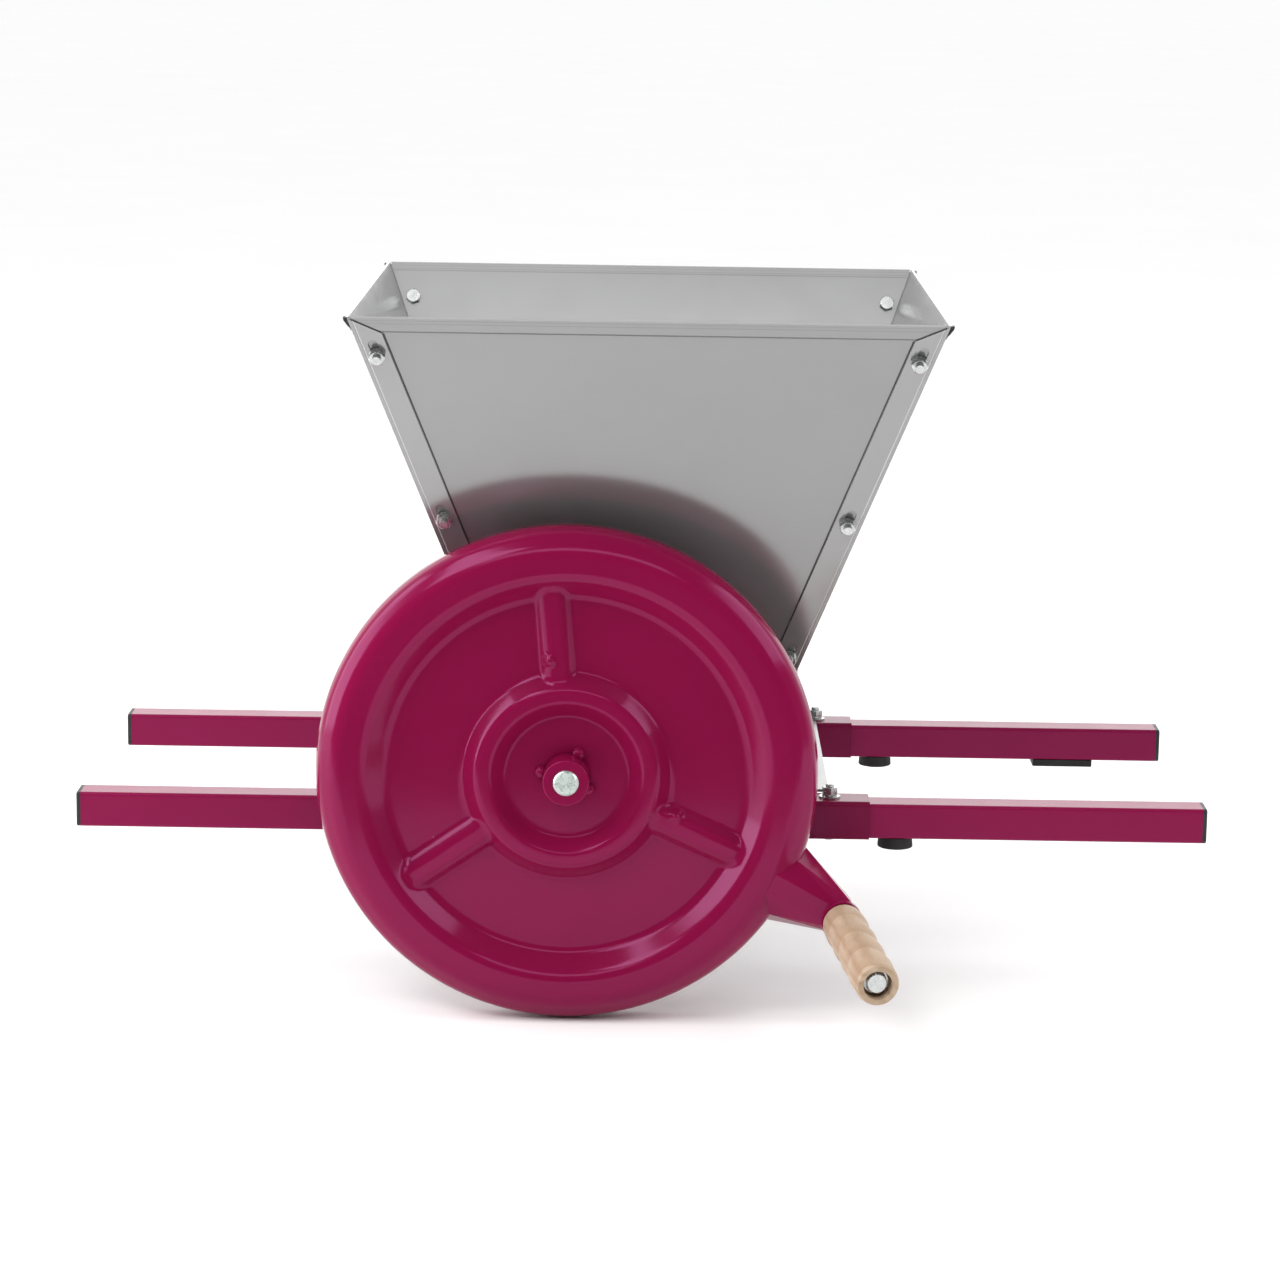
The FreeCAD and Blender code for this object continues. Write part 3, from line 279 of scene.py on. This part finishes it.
# side panels: a lighter copy of the same sheet (base 0.335 against 0.300), painted light, with painted light on the
# inner faces and flange edges
m_sheet_side = stainless("satin_stainless_sheet_side", base=0.335, streak="y", lines_at=inside_painted_light)
m_plate = stainless("stainless_housing_plate", base=0.40, r=(0.22, 0.30))


def metal(name, base, r, scale=160.0, tint=(1, 1, 1), dark=0.8, bump=0.10, dist=0.0002, anis=0.0, metallic=1.0):
    M = Mat(name)
    a = tuple(base * dark * k for k in tint)
    b = tuple(base * k for k in tint)
    M.color(M.ramp(M.noise(scale, 4.0, 0.6), [(0.32, a), (0.68, b)]))
    M.rough(M.rng(M.noise(scale * 1.7, 3.0), 0.3, 0.7, r[0], r[1]))
    M.const(Metallic=metallic, Anisotropic=anis)
    M.bump(M.noise(scale * 3.0, 3.0), bump, dist)
    return M


m_zinc = metal("zinc_plated_steel", 0.66, (0.22, 0.32), tint=(0.97, 1.0, 0.99), dark=0.74, metallic=0.9, bump=0.08)
m_machined = metal("machined_steel", 0.66, (0.22, 0.36), tint=(0.97, 1.0, 0.99), dark=0.82, anis=0.3)
m_alu = metal("cast_aluminium_skin", 0.72, (0.38, 0.55), scale=90.0, dark=0.82, bump=0.35, dist=0.0005)
m_bronze = metal("bearing_bronze", 0.66, (0.28, 0.42), tint=(1.0, 0.70, 0.38), dark=0.8)
m_iron = metal("grey_cast_iron", 0.20, (0.5, 0.68), scale=120.0, tint=(1.0, 0.98, 0.96), dark=0.7, bump=0.5, dist=0.0006)

# the cut end of the flywheel shaft: turned rings in the bump over a mottled metal tone
M = Mat("turned_shaft_end")
ax = axis_split(M)
dx = M.math("SUBTRACT", ax[0], XD)
dz = M.math("SUBTRACT", ax[2], ZS)
rad = M.math("SQRT", M.math("ADD", M.math("MULTIPLY", dx, dx), M.math("MULTIPLY", dz, dz)))
wv = M.math("SINE", M.math("MULTIPLY", rad, 9000.0))
ang_n = M.noise(210.0, 4.0, 0.7, 0.6)
base = M.ramp(ang_n, [(0.30, (0.36, 0.44, 0.41)), (0.45, (0.70, 0.80, 0.75)), (0.66, (0.86, 0.97, 0.91))])
M.color(base)
M.rough(M.rng(M.noise(330.0, 3.0), 0.3, 0.7, 0.22, 0.42))
M.const(Metallic=0.72)
M.bump(wv, 0.16, 0.0002)
M.bump(ang_n, 0.35, 0.0004)
m_shaft = M

M = Mat("black_moulded_plastic")
M.color(M.ramp(M.noise(60.0, 4.0), [(0.3, (0.014, 0.014, 0.015)), (0.7, (0.030, 0.029, 0.031))]))
M.rough(M.rng(M.noise(140.0, 3.0), 0.3, 0.7, 0.38, 0.52))
M.const(Specular_IOR_Level=0.4)
M.bump(M.noise(1100.0, 2.0), 0.25, 0.00012)
m_cap = M

M = Mat("black_rubber")
M.color(M.ramp(M.noise(45.0, 4.0), [(0.3, (0.012, 0.012, 0.013)), (0.7, (0.027, 0.026, 0.028))]))
M.rough(M.rng(M.noise(160.0, 3.0), 0.3, 0.7, 0.55, 0.75))
M.const(Specular_IOR_Level=0.32)
M.bump(M.noise(800.0, 3.0), 0.4, 0.0002)
m_rubber = M

# beech: growth rings cut at a slant, fine pores and ray flecks along the grain
M = Mat("turned_beech")
warp = M.noise(38.0, 3.0, 0.55, 0.3, M.mapped((1, 1, 0.6)))
mp = M.mapped((1, 1, 0.10), (0.10, 0.07, 0.0), (0.012, 0.030, 0.0))
w = M.n("ShaderNodeTexWave", wave_type="RINGS", rings_direction="Z", wave_profile="SIN")
w.inputs["Scale"].default_value = 46.0
w.inputs["Distortion"].default_value = 3.0
w.inputs["Detail"].default_value = 4.0
w.inputs["Detail Scale"].default_value = 1.8
w.inputs["Detail Roughness"].default_value = 0.6
M.link(mp, w.inputs["Vector"])
ring = w.outputs["Fac"]
# painted shade of the finger swells: one broad darker band to each swell, crossing the grip at a slant; it also drives
# a shallow bump
swell_shade_wave = M.n("ShaderNodeTexWave", wave_type="BANDS", bands_direction="Z", wave_profile="SAW")
swell_shade_wave.inputs["Scale"].default_value = 11.4
swell_shade_wave.inputs["Distortion"].default_value = 1.3
swell_shade_wave.inputs["Detail"].default_value = 2.0
swell_shade_wave.inputs["Detail Scale"].default_value = 1.1
M.link(M.mapped((1, 1, 1), (0.55, 0.35, 0.0)), swell_shade_wave.inputs["Vector"])
swell_shade_bands = swell_shade_wave.outputs["Fac"]
fleck = M.noise(11.0, 5.0, 0.7, 0.0, M.mapped((110.0, 110.0, 11.0)))
pores = M.noise(34.0, 4.0, 0.6, 0.0, M.mapped((60.0, 60.0, 5.0)))
c = M.ramp(ring, [(0.0, (0.530, 0.405, 0.290)), (0.6, (0.490, 0.360, 0.248)), (1.0, (0.425, 0.300, 0.197))])
# painted shade band on each finger swell
c = M.mix(M.rng(swell_shade_bands, 0.25, 1.0, 0.0, 0.62), c, (0.360, 0.236, 0.148))
c = M.mix(M.rng(warp, 0.40, 0.72, 0.0, 0.45), c, (0.590, 0.470, 0.350))
c = M.mix(M.rng(fleck, 0.52, 0.76, 0.0, 0.50), c, (0.330, 0.205, 0.122))
M.color(c)
M.rough(M.rng(fleck, 0.3, 0.7, 0.42, 0.56))
M.const(Specular_IOR_Level=0.34)
M.bump(pores, 0.20, 0.0003)
M.bump(swell_shade_bands, 0.10, 0.0006)
m_beech = M

FINISH = {
    "maroon_paint": m_rail, "stainless_sheet": m_sheet, "zinc_hardware": m_zinc, "black_plastic": m_cap,
    "black_rubber": m_rubber, "beech": m_beech, "bronze": m_bronze, "cast_iron": m_iron,
    "machined_steel": m_machined, "cast_aluminium": m_alu}
SPECIAL = {
    "channel_front": m_chan, "channel_back": m_chan,
    "flywheel": m_wheel, "crank_lug": m_wheel, "hub_collar": m_wheel, "drive_shaft": m_shaft,
    "hopper_left_panel": m_sheet_side, "hopper_right_panel": m_sheet_side,
    "bearing_plate_front": m_plate, "bearing_plate_back": m_plate, "housing_wall_left": m_plate,
    "housing_wall_right": m_plate, "gear_cover": m_plate, "support_brackets": m_plate}
slot_of = {s["node"]: s["material_slot"] for s in frame["record"]["subparts"]}


def dress(o, M):
    o.data.materials.clear()
    o.data.materials.append(M.m)


for name, o in nodes.items():
    dress(o, SPECIAL.get(name) or FINISH[slot_of[name]])

# the lug's cast edges are rounded over under the enamel
o = nodes["crank_lug"]
w1 = o.modifiers.new("join", "WELD")
w1.merge_threshold = 0.00001
b1 = o.modifiers.new("edge", "BEVEL")
b1.width = 0.0014
b1.segments = 3
b1.limit_method = "ANGLE"
b1.angle_limit = math.radians(14)
b1.use_clamp_overlap = True
b1.harden_normals = True


# ---------------------------------------------------------------- flywheel
def rounded(pts, per=7):
    # polyline with its corners turned on arcs; each point is (r, d, corner radius)
    out = []
    for i, (x, y, c) in enumerate(pts):
        p = Vector((x, y))
        if i in (0, len(pts) - 1) or c <= 0:
            out.append(p)
            continue
        v1 = Vector(pts[i - 1][:2]) - p
        v2 = Vector(pts[i + 1][:2]) - p
        l1, l2 = v1.length, v2.length
        v1.normalize()
        v2.normalize()
        half = v1.angle(v2) / 2
        t = min(c / math.tan(half), 0.48 * l1, 0.48 * l2)
        rr = t * math.tan(half)
        ctr = p + (v1 + v2).normalized() * (rr / math.sin(half))
        a0 = (p + v1 * t) - ctr
        a1 = (p + v2 * t) - ctr
        th = a0.angle(a1)
        for k in range(per + 1):
            f = k / per
            q = (a0 * math.sin((1 - f) * th) + a1 * math.sin(f * th)) / math.sin(th)
            out.append(ctr + q)
    fine = [out[0]]
    for q in out[1:]:
        n = max(1, int((q - fine[-1]).length / 1.7))
        s = fine[-1]
        for k in range(1, n + 1):
            fine.append(s.lerp(q, k / n))
    return fine


FRONT = [(16.25, 13, 0), (43.5, 13, 5), (53.5, 22.3, 5), (63.0, 22.3, 7), (74.0, 11, 7), (127.0, 11, 9), (142.0, 25, 13),
         (161.3, 25.6, 16), (173.5, 16.4, 15), (175.7, 7.5, 9), (175.5, -2.0, 6), (174.4, -7.2, 0)]
RIBS = (95.0, 214.5, 335.6)
BUMPS = ((83.4, 99.1), (81.2, 341.3))


def smax(a, b, k):
    h = max(k - abs(a - b), 0.0) / k
    return max(a, b) + h * h * k * 0.25


def wheel_depth(r, d, th):
    if 60.0 < r < 141.0:
        for a in RIBS:
            da = math.radians((th - a + 180.0) % 360.0 - 180.0)
            t = r * math.sin(da)
            if abs(da) < 0.5 and abs(t) < 13.79:
                rib = 4.2 + math.sqrt(13.8 * 13.8 - t * t)
                d = smax(d, min(rib, 17.4), 3.4)
        for rb, ab in BUMPS:
            da = math.radians((th - ab + 180.0) % 360.0 - 180.0)
            if abs(da) < 0.3:
                q = math.hypot(r * math.cos(da) - rb, r * math.sin(da))
                if q < 5.2:
                    d += 3.4 * math.cos(q / 5.2 * math.pi / 2) ** 1.4
    return d


prof = rounded(FRONT)
NT = 540
verts, faces = [], []
for p in prof:
    for j in range(NT):
        th = 360.0 * j / NT
        d = wheel_depth(p.x, p.y, th)
        a = math.radians(th)
        verts.append((XD + p.x * MM * math.cos(a), YW - d * MM, ZS + p.x * MM * math.sin(a)))
for i in range(len(prof) - 1):
    for j in range(NT):
        k = (j + 1) % NT
        faces.append((i * NT + j, i * NT + k, (i + 1) * NT + k, (i + 1) * NT + j))
me = bpy.data.meshes.new("flywheel_skin")
me.from_pydata(verts, [], faces)
me.update()
# the front face looks towards -Y
if me.polygons[0].normal.y > 0:
    me.flip_normals()
for p in me.polygons:
    p.use_smooth = True
wheel = bpy.data.objects.new("flywheel_skin", me)
scene.collection.objects.link(wheel)
so = wheel.modifiers.new("sheet", "SOLIDIFY")
so.thickness = 0.003
so.offset = -1.0
so.use_even_offset = True
so.use_rim = True
be = wheel.modifiers.new("edge", "BEVEL")
be.width = 0.0007
be.segments = 2
be.limit_method = "ANGLE"
be.angle_limit = math.radians(60)
dress(wheel, m_wheel)
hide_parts("flywheel")
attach(wheel, "drive")

# ---------------------------------------------------------------- grip
HB = Vector((0.1418, -0.198, -0.0384))
HT = Vector((0.1596, -0.328, -0.0454))
hd = (HT - HB).normalized()
GL = (HT - HB).length * 1000.0
G0, R1, RD, BORE = 1.3, 9.8, 11.6, 4.05
gp = [(0.0, 12.8), (1.6, 14.3), (6.0, 14.9), (17.0, 15.3), (24.0, 14.9), (31.0, 14.4), (38.0, 14.8), (45.0, 15.3), (52.0, 14.9),
      (59.0, 14.4), (66.0, 14.8), (73.0, 15.3), (80.0, 14.9), (87.0, 14.4), (94.0, 14.8), (101.0, 15.3), (109.0, 15.0), (116.0, 14.8),
      (121.5, 14.7), (123.8, 13.9)]
k_ = (GL - G0 - 1.2) / 123.8


def catmull(p0, p1, p2, p3, t):
    return 0.5 * ((2 * p1) + (-p0 + p2) * t + (2 * p0 - 5 * p1 + 4 * p2 - p3) * t * t + (-p0 + 3 * p1 - 3 * p2 + p3) * t ** 3)


ctl = [Vector((r, G0 + s * k_)) for s, r in gp]
line = []
for i in range(len(ctl) - 1):
    a, b = ctl[i], ctl[i + 1]
    z = ctl[i - 1] if i else a * 2 - b
    e = ctl[i + 2] if i + 2 < len(ctl) else b * 2 - a
    n = max(2, int((b - a).length / 1.2))
    for q in range(n):
        line.append(catmull(z, a, b, e, q / n))
line.append(ctl[-1])
end_r = gp[-1][1] - 1.2
tail = [(end_r + 0.85, GL - 0.35), (end_r, GL), (R1 + 0.7, GL), (R1 + 0.2, GL - 0.2), (R1, GL - 0.7), (R1, GL - RD * 0.5), (R1, GL - RD),
        (BORE + 0.2, GL - RD), (BORE, GL - RD - 0.2), (BORE, GL * 0.5), (BORE, G0 + 0.2), (BORE + 0.2, G0), (12.2, G0)]
ring_pts = [(p.x, p.y) for p in line] + tail
NG = 96
verts, faces = [], []
for r, s in ring_pts:
    for j in range(NG):
        a = 2 * math.pi * j / NG
        verts.append((r * MM * math.cos(a), r * MM * math.sin(a), s * MM))
nr = len(ring_pts)
for i in range(nr):
    i2 = (i + 1) % nr
    for j in range(NG):
        k = (j + 1) % NG
        faces.append((i * NG + j, i * NG + k, i2 * NG + k, i2 * NG + j))
me = bpy.data.meshes.new("beech_grip")
me.from_pydata(verts, [], faces)
me.update()
for p in me.polygons:
    p.use_smooth = True
if me.polygons[0].normal.dot(Vector((me.polygons[0].center.x, me.polygons[0].center.y, 0))) < 0:
    me.flip_normals()
me.set_sharp_from_angle(angle=math.radians(38))
grip = bpy.data.objects.new("beech_grip", me)
scene.collection.objects.link(grip)
u = Vector((0, 0, 1)).cross(hd).normalized()
v = hd.cross(u)
rot = Matrix((u, v, hd)).transposed().to_4x4()
grip.matrix_world = Matrix.Translation(HB) @ rot
dress(grip, m_beech)
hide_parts("wooden_grip")
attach(grip, "grip")

# ---------------------------------------------------------------- hem ends, painted shade
def hem_shade_wedge(name, sx, sy):
    # black blocks standing in for the shade inside the open end of a side panel's folded hem at the rim's corner:
    # painted shade
    def at(out, back, z):
        k = 0.368 * (RIM_Z - z)
        return (sx * (RIM_HX - k + out), sy * (0.197 - 0.36 * (RIM_Z - z) - back), z)
    ring = [(0.0002, RIM_Z - 0.0006), (0.0030, RIM_Z - 0.0002), (0.0034, RIM_Z - 0.0026), (0.0022, RIM_Z - 0.0062), (0.0004, RIM_Z - 0.0090)]
    vs = [at(o_, 0.0006, z) for o_, z in ring] + [at(o_, 0.0085, z) for o_, z in ring]
    n = len(ring)
    fs = [tuple(range(n)), tuple(range(2 * n - 1, n - 1, -1))] + [(i, i + n, (i + 1) % n + n, (i + 1) % n) for i in range(n)]
    q = bpy.data.meshes.new(name)
    q.from_pydata(vs, [], fs)
    q.update()
    bm = bmesh.new()
    bm.from_mesh(q)
    bmesh.ops.recalc_face_normals(bm, faces=bm.faces)
    bm.to_mesh(q)
    bm.free()
    o = bpy.data.objects.new(name, q)
    scene.collection.objects.link(o)
    b1 = o.modifiers.new("edge", "BEVEL")
    b1.width = 0.0005
    b1.segments = 2
    dress(o, m_cap)
    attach(o, "frame")
    return o


# four black blocks of painted shade at the rim's corners
for sx, a in ((-1, "left"), (1, "right")):
    for sy, b in ((-1, "front"), (1, "back")):
        hem_shade_wedge("hem_end_%s_%s" % (b, a), sx, sy)

# ---------------------------------------------------------------- stage
FLOOR_Z = cad_box[0][2] - 0.0005


def flat(name, x0, x1, y0, y1, z):
    q = bpy.data.meshes.new(name)
    q.from_pydata([(x0, y0, z), (x1, y0, z), (x1, y1, z), (x0, y1, z)], [], [(0, 1, 2, 3)])
    o = bpy.data.objects.new(name, q)
    scene.collection.objects.link(o)
    return o


M = Mat("pale_floor")
M.color(M.ramp(M.noise(3.0, 3.0), [(0.3, (0.965, 0.965, 0.965)), (0.7, (0.98, 0.98, 0.98))]))
M.rough(M.rng(M.noise(30.0, 3.0), 0.3, 0.7, 0.85, 0.95))
M.const(Specular_IOR_Level=0.05)
m_floor = M
NEAR = -0.80
f1 = flat("floor", -30, 30, NEAR, 45, FLOOR_Z)
f2 = flat("floor_front", -30, 30, -30, NEAR, FLOOR_Z)
for o in (f1, f2):
    dress(o, m_floor)
f2.visible_glossy = False

world = bpy.data.worlds.new("studio")
scene.world = world
world.use_nodes = True
nt = world.node_tree
nt.nodes.clear()
wo = nt.nodes.new("ShaderNodeOutputWorld")
bg = nt.nodes.new("ShaderNodeBackground")
bg2 = nt.nodes.new("ShaderNodeBackground")
mixs = nt.nodes.new("ShaderNodeMixShader")
lp = nt.nodes.new("ShaderNodeLightPath")
tc = nt.nodes.new("ShaderNodeTexCoord")
sp = nt.nodes.new("ShaderNodeSeparateXYZ")
nt.links.new(tc.outputs["Generated"], sp.inputs[0])


def wmath(op, a, b=None):
    x = nt.nodes.new("ShaderNodeMath")
    x.operation = op
    for i, q in enumerate((a, b)):
        if q is None:
            continue
        if hasattr(q, "links"):
            nt.links.new(q, x.inputs[i])
        else:
            x.inputs[i].default_value = q
    return x.outputs[0]


up = wmath("MULTIPLY", wmath("MAXIMUM", wmath("SUBTRACT", sp.outputs[2], 0.35), 0.0), 1.6)
side = wmath("ADD", wmath("MULTIPLY", sp.outputs[1], 1.8), 0.85)
f = wmath("MINIMUM", wmath("MAXIMUM", wmath("ADD", side, up), 0.0), 1.0)
mr = nt.nodes.new("ShaderNodeMapRange")
mr.inputs[3].default_value = 0.045
mr.inputs[4].default_value = 1.14
nt.links.new(f, mr.inputs[0])
# brighter behind the object
back = wmath("MULTIPLY", wmath("MAXIMUM", wmath("SUBTRACT", sp.outputs[1], 0.45), 0.0), 1.6)
soft = wmath("ADD", mr.outputs[0], back)
# what polished surfaces see: dim straight overhead and towards the camera side, brighter at the sides and behind
g_side = wmath("ADD", wmath("MULTIPLY", sp.outputs[1], 1.5), 0.62)
g_low = wmath("MULTIPLY", wmath("MAXIMUM", wmath("SUBTRACT", sp.outputs[2], 0.80), 0.0), -1.6)
g = wmath("MINIMUM", wmath("MAXIMUM", wmath("ADD", g_side, g_low), 0.04), 1.0)
g = wmath("ADD", wmath("MULTIPLY", g, 1.05), back)
pick = nt.nodes.new("ShaderNodeMix")
pick.data_type = "FLOAT"
nt.links.new(lp.outputs["Is Glossy Ray"], pick.inputs[0])
nt.links.new(soft, pick.inputs[2])
nt.links.new(g, pick.inputs[3])
nt.links.new(pick.outputs[0], bg.inputs["Color"])
bg.inputs["Strength"].default_value = 1.0
bg2.inputs["Color"].default_value = (1, 1, 1, 1)
bg2.inputs["Strength"].default_value = 1.0
nt.links.new(lp.outputs["Is Camera Ray"], mixs.inputs[0])
nt.links.new(bg.outputs[0], mixs.inputs[1])
nt.links.new(bg2.outputs[0], mixs.inputs[2])
nt.links.new(mixs.outputs[0], wo.inputs[0])


def softbox(name, loc, target, sx, sy, power, colour=(1, 1, 1)):
    d = bpy.data.lights.new(name, "AREA")
    d.shape = "RECTANGLE"
    d.size, d.size_y = sx, sy
    d.energy = power
    d.color = colour
    o = bpy.data.objects.new(name, d)
    o.location = loc
    dr = Vector(target) - Vector(loc)
    o.rotation_euler = dr.to_track_quat("-Z", "Y").to_euler()
    scene.collection.objects.link(o)
    return o


softbox("left_box", (-2.3, -0.45, 1.00), (0, -0.15, 0.15), 1.15, 2.2, 42, (1.0, 0.985, 1.0))
softbox("right_box", (2.2, -0.55, 1.50), (0, -0.15, 0.15), 1.5, 1.3, 19)
softbox("front_high", (0.0, -2.8, 2.05), (0, 0, 0.3), 2.4, 0.7, 14)
softbox("key_upper_left", (-1.35, -1.7, 2.3), (0, 0, 0.1), 1.2, 1.0, 21)

# ---------------------------------------------------------------- camera
cam = bpy.data.cameras.new("camera")
cam.lens = 36.0 * 3700.0 / 1280.0
cam.sensor_width = 36.0
cam.sensor_fit = "HORIZONTAL"
cam.clip_start = 0.05
cam.clip_end = 200.0
co = bpy.data.objects.new("camera", cam)
pitch, yaw, roll = 0.196, -0.003, -0.015
fwd = Vector((math.sin(yaw) * math.cos(pitch), math.cos(yaw) * math.cos(pitch), -math.sin(pitch)))
right = Vector((math.cos(yaw), -math.sin(yaw), 0))
down = fwd.cross(right)
r2 = right * math.cos(roll) + down * math.sin(roll)
d2 = right * -math.sin(roll) + down * math.cos(roll)
co.matrix_world = Matrix((
    (r2.x, -d2.x, -fwd.x, 4.793 * MM),
    (r2.y, -d2.y, -fwd.y, -2696.77 * MM),
    (r2.z, -d2.z, -fwd.z, 656.94 * MM),
    (0, 0, 0, 1)))
scene.collection.objects.link(co)
scene.camera = co

bpy.context.view_layer.update()
